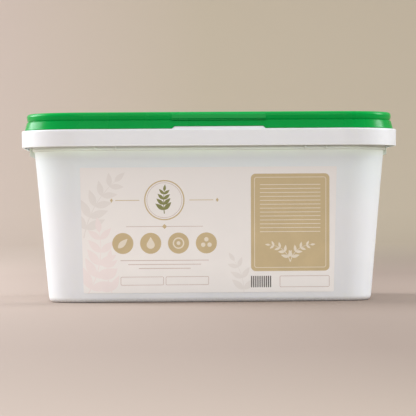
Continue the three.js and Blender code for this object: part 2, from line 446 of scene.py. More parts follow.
def smooth(piece: bpy.types.Object) -> None:
    """Shade a moulding smoothly, with flat faces kept flat and hard edges kept hard.

    Args:
        piece: Piece to shade.
    """
    piece.data.shade_smooth()
    piece.data.set_sharp_from_angle(angle=SHARP_ANGLE)
    modifier = piece.modifiers.new("even_normals", "WEIGHTED_NORMAL")
    modifier.keep_sharp = True
    apply_modifiers(piece)


def register(piece: bpy.types.Object, node: str) -> None:
    """Tell the frame which body a piece rides on, and what it stands for.

    Args:
        piece: Finished piece.
        node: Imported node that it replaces.
    """
    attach(piece, BODY)
    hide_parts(node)
    LOG.info("%s: %d faces, stands for %s", piece.name, len(piece.data.polygons), node)


@dataclass(frozen=True)
class Grain:
    """Layer of soft noise on a surface.

    Attributes:
        scale: Features for each metre.
        detail: Finer layers on top.
        roughness: Strength of the finer layers.
        band: Noise values between which its effect rises.
        stretch: Factors for X, Y and Z, below 1 where it is drawn out.
    """

    scale: float
    detail: float = 2.0
    roughness: float = 0.5
    band: Span = (0.3, 0.7)
    stretch: Optional[Place] = None


class NodeBoard:
    """Nodes of one material, round its surface shader.

    Attributes:
        material: The material itself.
        shader: Its surface shader.
        place: Socket that gives the point on the object, in metres.
    """

    def __init__(self, name: str) -> None:
        """Start a material.

        Args:
            name: Name of the material.
        """
        self.material = bpy.data.materials.new(name)
        self.material.use_nodes = True
        self.shader = self.material.node_tree.nodes["Principled BSDF"]
        self.place = self.add("ShaderNodeTexCoord").outputs["Object"]

    def add(self, kind: str) -> bpy.types.Node:
        """Add one node of a kind."""
        return self.material.node_tree.nodes.new(kind)

    def wire(self, source: bpy.types.NodeSocket, target: bpy.types.NodeSocket) -> None:
        """Link one socket to another."""
        self.material.node_tree.links.new(source, target)

    def set(self, **values: object) -> None:
        """Set plain values on the shader's sockets, named with _ for each space.

        Args:
            values: Socket names and values.
        """
        for name, value in values.items():
            self.shader.inputs[name.replace("_", " ")].default_value = value

    def feed(self, **sources: bpy.types.NodeSocket) -> None:
        """Link sockets to the shader's, named with _ for each space.

        Args:
            sources: Names of the shader's sockets and what feeds them.
        """
        for name, source in sources.items():
            self.wire(source, self.shader.inputs[name.replace("_", " ")])

    def stretched(self, stretch: Sequence[float]) -> bpy.types.NodeSocket:
        """Point on the object, scaled along each axis.

        Args:
            stretch: Factor for X, Y and Z.

        Returns:
            Socket of the scaled point.
        """
        mapping = self.add("ShaderNodeMapping")
        mapping.inputs["Scale"].default_value = stretch
        self.wire(self.place, mapping.inputs["Vector"])
        return mapping.outputs["Vector"]

    def noise(self, grain: Grain) -> bpy.types.NodeSocket:
        """Soft noise between 0 and 1.

        Args:
            grain: Layer of noise.

        Returns:
            Socket of the noise.
        """
        node = self.add("ShaderNodeTexNoise")
        node.inputs["Scale"].default_value = grain.scale
        node.inputs["Detail"].default_value = grain.detail
        node.inputs["Roughness"].default_value = grain.roughness
        place = self.stretched(grain.stretch) if grain.stretch else self.place
        self.wire(place, node.inputs["Vector"])
        return node.outputs["Fac"]

    def mottle(self, grain: Grain, end: Span = FULL) -> bpy.types.NodeSocket:
        """Noise whose band is spread over a range of values.

        Args:
            grain: Layer of noise.
            end: Range that its band goes to.

        Returns:
            Socket of the values.
        """
        return self.spread(self.noise(grain), grain.band, end)

    def along(self, axis: str) -> bpy.types.NodeSocket:
        """Place of the point along one axis.

        Args:
            axis: X, Y or Z.

        Returns:
            Socket of the distance from the origin.
        """
        node = self.add("ShaderNodeSeparateXYZ")
        self.wire(self.place, node.inputs["Vector"])
        return node.outputs[axis]

    def radius(self) -> bpy.types.NodeSocket:
        """Distance of the point from the upright axis.

        Returns:
            Socket of the distance.
        """
        node = self.add("ShaderNodeVectorMath")
        node.operation = "LENGTH"
        self.wire(self.stretched((1.0, 1.0, 0.0)), node.inputs[0])
        return node.outputs["Value"]

    def spread(self, source: bpy.types.NodeSocket, start: Span,
               end: Span = FULL) -> bpy.types.NodeSocket:
        """Map a range of values to another.

        Args:
            source: Values to map.
            start: Range that they come in.
            end: Range that they go to.

        Returns:
            Socket of the mapped values.
        """
        node = self.add("ShaderNodeMapRange")
        for name, value in zip(("From Min", "From Max", "To Min", "To Max"), (*start, *end)):
            node.inputs[name].default_value = value
        self.wire(source, node.inputs["Value"])
        return node.outputs["Result"]

    def ramp(self, source: bpy.types.NodeSocket, painted_light_tones: Sequence[Tone]) -> bpy.types.NodeSocket:
        """Colour that runs through several tones.

        Args:
            source: Values along which it runs.
            painted_light_tones: Values and their colours, in rising order; the colours paint light and
                shade.

        Returns:
            Socket of the colour.
        """
        first, last = painted_light_tones[0][0], painted_light_tones[-1][0]
        node = self.add("ShaderNodeValToRGB")
        stops = node.color_ramp.elements
        while len(stops) < len(painted_light_tones):
            stops.new(1.0)
        for stop, (value, colour) in zip(stops, painted_light_tones):
            stop.position = (value - first) / (last - first)
            stop.color = (*colour, 1.0)
        self.wire(self.spread(source, (first, last)), node.inputs["Fac"])
        return node.outputs["Color"]

    def times(self, first: bpy.types.NodeSocket, second: bpy.types.NodeSocket) -> bpy.types.NodeSocket:
        """Multiply two values.

        Args:
            first: One value.
            second: The other value.

        Returns:
            Socket of the product.
        """
        node = self.add("ShaderNodeMath")
        node.operation = "MULTIPLY"
        self.wire(first, node.inputs[0])
        self.wire(second, node.inputs[1])
        return node.outputs["Value"]

    def drift(self, factor: bpy.types.NodeSocket, first: object,
              second: object) -> bpy.types.NodeSocket:
        """Colour that drifts between two colours.

        Args:
            factor: 0 for the first colour, 1 for the second.
            first: First colour, or the socket that gives it.
            second: Second colour, or the socket that gives it.

        Returns:
            Socket of the colour.
        """
        node = self.add("ShaderNodeMix")
        node.data_type = "RGBA"
        for colour, index in zip((first, second), MIX_COLOUR_INPUTS):
            target = node.inputs[index]
            if isinstance(colour, bpy.types.NodeSocket):
                self.wire(colour, target)
            else:
                target.default_value = (*colour, 1.0)
        self.wire(factor, node.inputs["Factor"])
        return node.outputs[MIX_COLOUR_OUTPUT]

    def bump(self, height: bpy.types.NodeSocket, depth: float,
             below: Optional[bpy.types.NodeSocket] = None) -> bpy.types.NodeSocket:
        """Surface normal over a fine relief.

        Args:
            height: Relief between 0 and 1.
            depth: Real depth of the relief.
            below: Normal of a coarser relief under it.

        Returns:
            Socket of the normal.
        """
        node = self.add("ShaderNodeBump")
        node.inputs["Strength"].default_value = 1.0
        node.inputs["Distance"].default_value = depth
        self.wire(height, node.inputs["Height"])
        if below:
            self.wire(below, node.inputs["Normal"])
        return node.outputs["Normal"]


@dataclass(frozen=True)
class MouldedPlastic:
    """Injection-moulded polypropylene: clouded colour, fine skin, shallow ripple and light scuffs.

    Attributes:
        name: Name of the material.
        painted_light_tones: Colours at rising heights, which paint light and shade by height.
        cloud: Colour that it drifts to in soft clouds.
        clouding: Share of that colour in the clouds.
        scuff: Colour of rubbed places near the floor.
        roughness: Least and most roughness.
        glow: Share of light that spreads inside the plastic.
        glow_reach: How far each colour of light spreads inside.
        ripple_depth: Depth of the broad ripple.
        skin_depth: Depth of the fine skin.
        scuff_height: Height up to which it is rubbed.
        scuff_share: Greatest share of the scuff's colour.
        gloss: Strength of the mirror-like sheen.
        ior: Index of refraction.
        cloud_grain: Noise of the clouds.
        flow_grain: Noise of the roughness, drawn out upwards.
        scuff_grain: Noise of the scuffs.
        ripple_grain: Noise of the broad ripple.
        skin_grain: Noise of the fine skin.
    """

    name: str
    painted_light_tones: tuple[Tone, ...]
    cloud: Colour
    scuff: Colour
    roughness: Span
    glow: float
    glow_reach: Colour
    ripple_depth: float = 0.05 * MM
    skin_depth: float = 0.006 * MM
    scuff_height: float = 5 * MM
    scuff_share: float = 0.8
    gloss: float = 0.5
    ior: float = 1.49
    clouding: float = 0.3
    cloud_grain: Grain = Grain(14, detail=3, band=(0.35, 0.65))
    flow_grain: Grain = Grain(30, detail=4, stretch=(1.0, 1.0, 0.15))
    scuff_grain: Grain = Grain(420, detail=5, roughness=0.7, band=(0.45, 0.7))
    ripple_grain: Grain = Grain(55, detail=1)
    skin_grain: Grain = Grain(1500)

    def material(self) -> bpy.types.Material:
        """Wire up the plastic.

        Returns:
            The material.
        """
        board = NodeBoard(self.name)
        height = board.along("Z")
        cloud = board.mottle(self.cloud_grain, (0.0, self.clouding))
        # Painted light and shade by height, under the clouds of the plastic's own tone.
        clouded_painted_light = board.drift(cloud, board.ramp(height, self.painted_light_tones), self.cloud)
        low = board.spread(height, (0.0, self.scuff_height), (1.0, 0.0))
        worn = board.times(low, board.mottle(self.scuff_grain, (0.0, self.scuff_share)))
        ripple = board.bump(board.noise(self.ripple_grain), self.ripple_depth)
        skin = board.bump(board.noise(self.skin_grain), self.skin_depth, ripple)
        board.feed(Base_Color=board.drift(worn, clouded_painted_light, self.scuff),
                   Roughness=board.mottle(self.flow_grain, self.roughness), Normal=skin)
        board.set(IOR=self.ior, Specular_IOR_Level=self.gloss, Subsurface_Weight=self.glow,
                  Subsurface_Radius=self.glow_reach, Subsurface_Scale=1.0)
        return board.material


@dataclass(frozen=True)
class PrintedFilm:
    """One ink on satin label film, with a faint mottle and the film's fine grain.

    Attributes:
        name: Name of the material.
        colour: Colour of the ink.
        mottle: How much darker the mottle gets.
        painted_shade: How much darker the ink is painted towards the rim, as painted shade under the
            rim's skirt.
        painted_shade_heights: Heights between which the painted shade darkens it.
        roughness: Least and most roughness.
        grain_depth: Depth of the film's grain.
        wave_depth: Depth of the film's broad waves.
        gloss: Strength of the mirror-like sheen.
        ior: Index of refraction.
        mottle_grain: Noise of the mottle.
        film_grain: Noise of the film's grain and roughness.
        wave_grain: Noise of the broad waves.
    """

    name: str
    colour: Colour
    mottle: float = 0.05
    painted_shade: float = 0.2
    painted_shade_heights: Span = (40 * MM, 150 * MM)
    roughness: Span = (0.38, 0.5)
    grain_depth: float = 0.008 * MM
    wave_depth: float = 0.12 * MM
    gloss: float = 0.4
    ior: float = 1.45
    mottle_grain: Grain = Grain(38, detail=6, roughness=0.6, band=(0.35, 0.65))
    film_grain: Grain = Grain(900, detail=3)
    wave_grain: Grain = Grain(24, detail=1)

    def darker(self, share: float) -> Colour:
        """The ink's colour, darker by a share."""
        return tuple(part * (1 - share) for part in self.colour)

    def material(self) -> bpy.types.Material:
        """Wire up the printed film.

        Returns:
            The material.
        """
        board = NodeBoard(self.name)
        mottled = board.drift(board.mottle(self.mottle_grain), self.colour, self.darker(self.mottle))
        # Painted shade: each ink is painted darker towards the rim, where the skirt shades the film.
        high = board.spread(board.along("Z"), self.painted_shade_heights)
        wave = board.bump(board.noise(self.wave_grain), self.wave_depth)
        board.feed(Base_Color=board.drift(high, mottled, self.darker(self.painted_shade)),
                   Roughness=board.mottle(self.film_grain, self.roughness),
                   Normal=board.bump(board.noise(self.film_grain), self.grain_depth, wave))
        board.set(IOR=self.ior, Specular_IOR_Level=self.gloss)
        return board.material


@dataclass(frozen=True)
class PaperSweep:
    """Plain matte studio paper, graded from the floor to the wall, with a barely visible fibre.

    Attributes:
        name: Name of the material.
        lit_left_floor: Colour of the floor to the left of the tub, painted lighter as a pool of light.
        shaded_right_floor: Colour of the floor to the right of the tub, painted darker as the tub's
            shadow.
        lit_left_wall: Colour of the wall on the left, painted lighter as painted light.
        shaded_right_wall: Colour of the wall on the right, painted darker as painted shade.
        grade: Distances from the tub between which floor turns to wall; the far wall is painted lighter
            than the floor, as painted light.
        floor_sides: Places along X of the left and right floor colours.
        wall_sides: Places along X of the left and right wall colours.
        fibre_depth: Depth of the paper's fibre.
        fibre_grain: Noise of the paper's fibre.
        roughness: Roughness of the paper.
        gloss: Strength of its sheen.
    """

    name: str = "studio_paper"
    lit_left_floor: Colour = (0.465, 0.375, 0.32)
    shaded_right_floor: Colour = (0.325, 0.255, 0.211)
    lit_left_wall: Colour = (0.69, 0.57, 0.51)
    shaded_right_wall: Colour = (0.585, 0.505, 0.387)
    grade: Span = (1.0, 4.5)
    floor_sides: Span = (-0.3, 0.1)
    wall_sides: Span = (-0.75, 0.15)
    fibre_depth: float = 0.1 * MM
    fibre_grain: Grain = Grain(300, detail=4, roughness=0.6)
    roughness: float = 0.9
    gloss: float = 0.1

    def material(self) -> bpy.types.Material:
        """Wire up the paper.

        Returns:
            The material.
        """
        board = NodeBoard(self.name)
        across = board.along("X")
        # Painted light and shade: lighter on the left, darker on the right where the tub's shadow falls,
        # and the far wall painted lighter than the floor.
        floor = board.drift(board.spread(across, self.floor_sides), self.lit_left_floor, self.shaded_right_floor)
        wall = board.drift(board.spread(across, self.wall_sides), self.lit_left_wall, self.shaded_right_wall)
        out = board.spread(board.radius(), self.grade)
        board.feed(Base_Color=board.drift(out, floor, wall),
                   Normal=board.bump(board.noise(self.fibre_grain), self.fibre_depth))
        board.set(Roughness=self.roughness, Specular_IOR_Level=self.gloss)
        return board.material


TUB_WHITE = MouldedPlastic(
    name="white_polypropylene",
    # Painted light and shade by height: darker towards the rim as painted shade under the skirt, a
    # painted green glow on the neck, and a darker rim.
    painted_light_tones=(
        (0 * MM, (0.85, 0.87, 0.875)),
        (85 * MM, (0.82, 0.84, 0.845)),
        # Painted shade under the rim's skirt, tinted green.
        (150 * MM, (0.70, 0.765, 0.755)),
        # Painted green glow on the neck under the skirt.
        (159 * MM, (0.83, 0.95, 0.83)),
        (161.6 * MM, (0.83, 0.95, 0.83)),
        # Rim painted darker than the foot, as painted shade.
        (163.6 * MM, (0.745, 0.76, 0.765)),
        (200 * MM, (0.745, 0.76, 0.765)),
    ),
    cloud=(0.73, 0.75, 0.755),
    scuff=(0.55, 0.54, 0.52),
    roughness=(0.34, 0.44),
    glow=0.15,
    glow_reach=(4 * MM, 4 * MM, 3 * MM),
)
LID_GREEN = MouldedPlastic(
    name="green_polypropylene",
    # Painted highlight: the lid is painted lighter towards the top of its bead.
    painted_light_tones=(
        (178 * MM, (0.0, 0.31, 0.05)),
        (192 * MM, (0.0, 0.31, 0.05)),
        (198 * MM, (0.0, 0.37, 0.06)),
    ),
    cloud=(0.0, 0.27, 0.04),
    scuff=(0.0, 0.285, 0.042),
    roughness=(0.2, 0.3),
    glow=0.1,
    glow_reach=(0.3 * MM, 2 * MM, 0.6 * MM),
    ripple_depth=0.03 * MM,
    skin_depth=0.003 * MM,
    gloss=0.1,
)


class Ink(Enum):
    """Inks of the label, with the bare film first."""

    FILM = PrintedFilm("label_film", (0.95, 0.925, 0.885), mottle=0.02)
    GOLD = PrintedFilm("label_gold", (0.66, 0.53, 0.305), mottle=0.08, roughness=(0.3, 0.42))
    CREAM = PrintedFilm("label_cream", (0.89, 0.81, 0.66))
    PINK = PrintedFilm("label_pink", (0.945, 0.86, 0.83), mottle=0.03)
    GREY = PrintedFilm("label_grey", (0.88, 0.845, 0.80), mottle=0.03)
    OLIVE = PrintedFilm("label_olive", (0.27, 0.28, 0.10), mottle=0.12)
    ROSE = PrintedFilm("label_rose", (0.60, 0.46, 0.41))
    CHARCOAL = PrintedFilm("label_charcoal", (0.10, 0.09, 0.088))


@dataclass(frozen=True)
class Patch:
    """One printed shape on the label.

    Attributes:
        ink: Ink that it is printed in.
        outline: Its outline on the label, along X and up the wall.
    """

    ink: Ink
    outline: list[Vector]


def block(ink: Ink, low: Spot, high: Spot, corner: float = 0.0) -> Patch:
    """Upright rectangle with rounded corners.

    Args:
        ink: Ink that it is printed in.
        low: Lower left corner.
        high: Upper right corner.
        corner: Radius of its corners.

    Returns:
        The printed rectangle.
    """
    spots = [low, (high[0], low[1]), high, (low[0], high[1])]
    return Patch(ink, round_outline(spots, corner))


def rule(ink: Ink, start: float, end: float, height: float, thickness: float) -> Patch:
    """Straight level line.

    Args:
        ink: Ink that it is printed in.
        start: Left end.
        end: Right end.
        height: Middle of the line up the wall.
        thickness: Thickness of the line.

    Returns:
        The printed line.
    """
    return block(ink, (start, height - thickness / 2), (end, height + thickness / 2))


def frame_line(ink: Ink, ground: Ink, low: Spot, high: Spot, thickness: float,
               corner: float = 0.0) -> list[Patch]:
    """Outline of a rectangle.

    Args:
        ink: Ink of the line.
        ground: Ink inside it.
        low: Lower left corner.
        high: Upper right corner.
        thickness: Thickness of the line.
        corner: Radius of its outer corners.

    Returns:
        The outer and the inner rectangle, in printing order.
    """
    inner_low = (low[0] + thickness, low[1] + thickness)
    inner_high = (high[0] - thickness, high[1] - thickness)
    inner_corner = max(0.0, corner - thickness)
    return [block(ink, low, high, corner), block(ground, inner_low, inner_high, inner_corner)]


def disc(ink: Ink, centre: Spot, radius: float, sides: int = 48) -> Patch:
    """Filled circle.

    Args:
        ink: Ink that it is printed in.
        centre: Its centre.
        radius: Its radius.
        sides: Sides that it is drawn with.

    Returns:
        The printed circle.
    """
    turn = 2 * math.pi / sides
    return Patch(ink, [Vector((centre[0] + radius * math.cos(step * turn),
                               centre[1] + radius * math.sin(step * turn)))
                       for step in range(sides)])


def diamond(ink: Ink, centre: Spot, half_width: float, half_height: float) -> Patch:
    """Small upright diamond.

    Args:
        ink: Ink that it is printed in.
        centre: Its centre.
        half_width: Half its width.
        half_height: Half its height.

    Returns:
        The printed diamond.
    """
    x, y = centre
    spots = ((x - half_width, y), (x, y - half_height), (x + half_width, y), (x, y + half_height))
    return Patch(ink, [Vector(spot) for spot in spots])


def leaf(ink: Ink, base: Spot, heading: float, length: float, width: float, steps: int = 10) -> Patch:
    """Pointed leaf.

    Args:
        ink: Ink that it is printed in.
        base: Where it joins the stem.
        heading: Direction of its tip, anticlockwise from +X.
        length: Length from base to tip.
        width: Greatest width.
        steps: Points along each edge.

    Returns:
        The printed leaf.
    """
    along = Vector((math.cos(heading), math.sin(heading)))
    across = Vector((-along.y, along.x))
    parts = [step / steps for step in range(steps + 1)]
    edge = [(part, width / 2 * math.sin(math.pi * part ** LEAF_SKEW)) for part in parts]
    right = [Vector(base) + along * (length * part) - across * half for part, half in edge]
    left = [Vector(base) + along * (length * part) + across * half for part, half in edge[-2:0:-1]]
    return Patch(ink, right + left)


def drop(ink: Ink, centre: Spot, radius: float, tip: float, steps: int = 32) -> Patch:
    """Upright drop with its point on top.

    Args:
        ink: Ink that it is printed in.
        centre: Centre of its round part.
        radius: Radius of its round part.
        tip: Height of its point above the centre.
        steps: Points along its outline.

    Returns:
        The printed drop.
    """
    spots = []
    for step in range(steps):
        angle = 2 * math.pi * step / steps
        pull = max(0.0, math.cos(angle)) ** DROP_POINT
        x = centre[0] + radius * math.sin(angle) * (1 - DROP_SLIMMING * pull)
        y = centre[1] + radius * math.cos(angle) + (tip - radius) * pull
        spots.append(Vector((x, y)))
    return Patch(ink, spots[::-1])


@dataclass(frozen=True)
class Sprig:
    """Curved stem with pairs of leaves and one leaf at its tip.

    Attributes:
        ink: Ink that it is printed in.
        base: Foot of the stem.
        tip: End of the stem.
        bend: How far the stem's middle bows to the left.
        pairs: Pairs of leaves.
        leaf_length: Length of the lowest leaves.
        stem_width: Width of the stem at its foot.
        slant: Angle between a leaf and the stem.
        stem_taper: Share of its width that the stem loses towards its tip.
        leaf_taper: Share of their length that the leaves lose towards the tip.
        leaf_slimness: Width of a leaf for its length.
        first_pair: Place of the lowest pair, in distances between pairs.
        tip_room: Length of stem past the pairs, in distances between pairs.
        tip_leaf: Length of the tip's leaf for that of the lowest leaves.
        tip_place: Place of the tip's leaf on the stem.
    """

    ink: Ink
    base: Spot
    tip: Spot
    bend: float
    pairs: int
    leaf_length: float
    stem_width: float
    slant: float = math.radians(48)
    stem_taper: float = 0.6
    leaf_taper: float = 0.45
    leaf_slimness: float = 0.4
    first_pair: float = 0.7
    tip_room: float = 0.4
    tip_leaf: float = 0.6
    tip_place: float = 0.97

    def spot(self, part: float) -> Vector:
        """Point on the stem.

        Args:
            part: 0 at the foot, 1 at the tip.

        Returns:
            The point.
        """
        start, end = Vector(self.base), Vector(self.tip)
        chord = end - start
        side = Vector((-chord.y, chord.x)).normalized()
        return start + chord * part + side * (4 * self.bend * part * (1 - part))

    def heading(self, part: float) -> float:
        """Direction of the stem, anticlockwise from +X.

        Args:
            part: 0 at the foot, 1 at the tip.

        Returns:
            The angle.
        """
        step = 0.01
        along = self.spot(part + step) - self.spot(part - step)
        return math.atan2(along.y, along.x)

    def stem(self, steps: int = 12) -> Patch:
        """Stem that thins towards its tip.

        Args:
            steps: Points along each edge.

        Returns:
            The printed stem.
        """
        left, right = [], []
        for step in range(steps + 1):
            part = step / steps
            angle = self.heading(part) + RIGHT_ANGLE
            half = self.stem_width / 2 * (1 - self.stem_taper * part)
            across = Vector((math.cos(angle), math.sin(angle))) * half
            left.append(self.spot(part) + across)
            right.append(self.spot(part) - across)
        return Patch(self.ink, right + left[::-1])

    def leaf_at(self, part: float, slant: float, length: float) -> Patch:
        """Leaf on the stem.

        Args:
            part: Place on the stem, 0 at the foot and 1 at the tip.
            slant: Angle between the leaf and the stem.
            length: Length of the leaf.

        Returns:
            The printed leaf.
        """
        heading = self.heading(part) + slant
        return leaf(self.ink, self.spot(part), heading, length, self.leaf_slimness * length)

    def patches(self) -> list[Patch]:
        """Stem and leaves.

        Returns:
            The shapes, in printing order.
        """
        shapes = [self.stem()]
        for pair in range(self.pairs):
            part = (pair + self.first_pair) / (self.pairs + self.tip_room)
            length = self.leaf_length * (1 - self.leaf_taper * part)
            for side in (-1, 1):
                shapes.append(self.leaf_at(part, side * self.slant, length))
        shapes.append(self.leaf_at(self.tip_place, 0.0, self.leaf_length * self.tip_leaf))
        return shapes


@dataclass
class Moulding:
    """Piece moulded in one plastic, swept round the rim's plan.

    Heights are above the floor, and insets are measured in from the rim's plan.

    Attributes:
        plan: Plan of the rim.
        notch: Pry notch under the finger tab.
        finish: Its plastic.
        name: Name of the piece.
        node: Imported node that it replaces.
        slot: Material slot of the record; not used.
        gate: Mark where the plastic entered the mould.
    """

    plan: RimPlan
    notch: PryNotch
    finish: MouldedPlastic
    name: str
    node: str
    slot: str
    gate: GateMark = GateMark()

    def dress(self, piece: bpy.types.Object) -> None:
        """Shade the moulding, give it its plastic and hand it to the frame.

        Args:
            piece: Finished moulding.
        """
        smooth(piece)
        piece.data.materials.append(self.finish.material())
        register(piece, self.node)


@dataclass
class Tub(Moulding):
    """White moulding: tapered wall, rim skirt, sealing lip, nesting lugs and recessed base."""

    finish: MouldedPlastic = TUB_WHITE
    name: str = "tub_moulding"
    node: str = "tub"
    slot: str = "tub_white"
    lip_top: float = field(default_factory=lambda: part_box("tub")[1].z)
    rim_top: float = RIM_TOP
    skirt_bottom: float = 162.6 * MM
    shoulder_bottom: float = 158.6 * MM
    base_inset: float = 28.2 * MM
    draft: float = math.radians(5.27)
    wall: float = 1.9 * MM
    floor_top: float = 3.7 * MM
    floor_fillet: float = 6 * MM
    bottom_fillet: float = 6 * MM
    foot_inset: float = 47 * MM
    recess: float = 1.5 * MM
    recess_slope: float = 1.2 * MM
    skirt_wall: float = 1.8 * MM
    skirt_draft: float = 0.35 * MM
    skirt_round: float = 0.7 * MM
    rim_edge: float = 1.6 * MM
    rim_web: float = 2 * MM
    neck_inset: float = 11.4 * MM
    shoulder_round: float = 1.2 * MM
    lip_inset: float = 10.2 * MM
    lip_wall: float = 2 * MM
    lip_round: float = 0.98 * MM
    small_round: float = 0.5 * MM
    lug_inset: float = 7.4 * MM
    lug_root: float = 1 * MM
    lug_thickness: float = 1.8 * MM
    lug_nose: float = 1.2 * MM
    lug_bevel: float = 0.3 * MM
    long_side_lugs: tuple[float, ...] = (98.4 * MM, 120.3 * MM)
    long_side_lug_bottom: float = 159 * MM
    short_side_lugs: tuple[float, ...] = (34 * MM, 56 * MM)
    short_side_lug_bottom: float = 154 * MM
    ledge_inset: float = 3.2 * MM
    ledge_gap: float = 0.4 * MM
    ledge_end_gap: float = 0.6 * MM
    ledge_root: float = 0.5 * MM

    def wall_inset(self, height: float) -> float:
        """Inset of the tapered wall's outer face at a height."""
        return self.base_inset - math.tan(self.draft) * height

    def section(self) -> list[Turn]:
        """Section from the floor up inside, over the lip and rim, and down outside.

        Returns:
            Corners of the section.
        """
        edge = self.small_round
        web = self.rim_top - self.rim_web
        shoulder = self.shoulder_bottom
        inner_base = self.foot_inset + self.recess_slope
        return [
            Turn(inner_base, self.floor_top),
            Turn(self.wall_inset(self.floor_top) + self.wall, self.floor_top, self.floor_fillet),
            Turn(self.wall_inset(shoulder) + self.wall, shoulder, edge),
            Turn(self.neck_inset + self.wall, shoulder + self.wall, edge),
            Turn(self.lip_inset + self.lip_wall, self.lip_top, self.lip_round),
            Turn(self.lip_inset, self.lip_top, self.lip_round),
            Turn(self.lip_inset, self.rim_top, edge),
            Turn(0.0, self.rim_top, self.rim_edge),
            Turn(self.skirt_draft, self.skirt_bottom, self.skirt_round),
            Turn(self.skirt_draft + self.skirt_wall, self.skirt_bottom, edge),
            Turn(self.skirt_wall, web, edge),
            Turn(self.neck_inset, web, edge),
            Turn(self.neck_inset, shoulder, self.shoulder_round),
            Turn(self.wall_inset(shoulder), shoulder, edge),
            Turn(self.wall_inset(0.0), 0.0, self.bottom_fillet),
            Turn(self.foot_inset, 0.0, edge),
            Turn(inner_base, self.recess, edge),
            Turn(inner_base + self.wall, self.recess),
        ]

    def lug(self, bottom: float) -> bmesh.types.BMesh:
        """Nesting lug in the middle of the front side.

        Args:
            bottom: Height that it reaches down to.

        Returns:
            The lug's mesh, rooted in the wall.
        """
        head = self.rim_top - self.rim_web / 2
        neck_root = self.neck_inset + self.lug_root
        wall_root = max(self.neck_inset, self.wall_inset(bottom)) + self.lug_root
        outline = [
            (self.lug_inset, head),
            (self.lug_inset, bottom + self.lug_nose),
            (self.lug_inset + self.lug_nose, bottom),
            (wall_root, bottom),
            (neck_root, self.skirt_bottom),
            (neck_root, head),
        ]
        return self.plan.front_bar(outline, self.lug_thickness, 0.0, self.lug_bevel)

    def lugs(self) -> bmesh.types.BMesh:
        """All the lugs, along the two long and the two short sides.

        Returns:
            One mesh with every lug.
        """
        placed = []
        sideways = self.plan.half_width - self.plan.half_depth
        for facing in (0.0, math.pi):
            turn = Matrix.Rotation(facing, 4, "Z")
            quarter = Matrix.Rotation(facing + RIGHT_ANGLE, 4, "Z")
            for side in (-1, 1):
                for along in self.long_side_lugs:
                    mesh = self.lug(self.long_side_lug_bottom)
                    mesh.transform(turn @ Matrix.Translation((side * along, 0.0, 0.0)))
                    placed.append(mesh)
                for along in self.short_side_lugs:
                    mesh = self.lug(self.short_side_lug_bottom)
                    mesh.transform(quarter @ Matrix.Translation((side * along, -sideways, 0.0)))
                    placed.append(mesh)
        return join_meshes(placed)

    def pry_ledge(self) -> bmesh.types.BMesh:
        """Ledge in the lid's pry notch, rooted in the rim and the sealing lip.

        Returns:
            The ledge's mesh.
        """
        heights = (self.rim_top - self.ledge_root, self.notch.top - self.ledge_gap)
        insets = (self.ledge_inset, self.lip_inset + self.ledge_root)
        return self.notch.block(heights, insets, self.ledge_end_gap, self.lug_bevel)

    def build(self) -> bpy.types.Object:
        """Mould the tub, dress it and hand it to the frame.

        Returns:
            The finished piece.
        """
        piece = make_object(self.name, self.plan.sweep(self.section()))
        for mesh in (self.lugs(), self.pry_ledge(), self.gate.mesh(self.recess)):
            combine(piece, mesh, Join.ADD)
        self.dress(piece)
        return piece


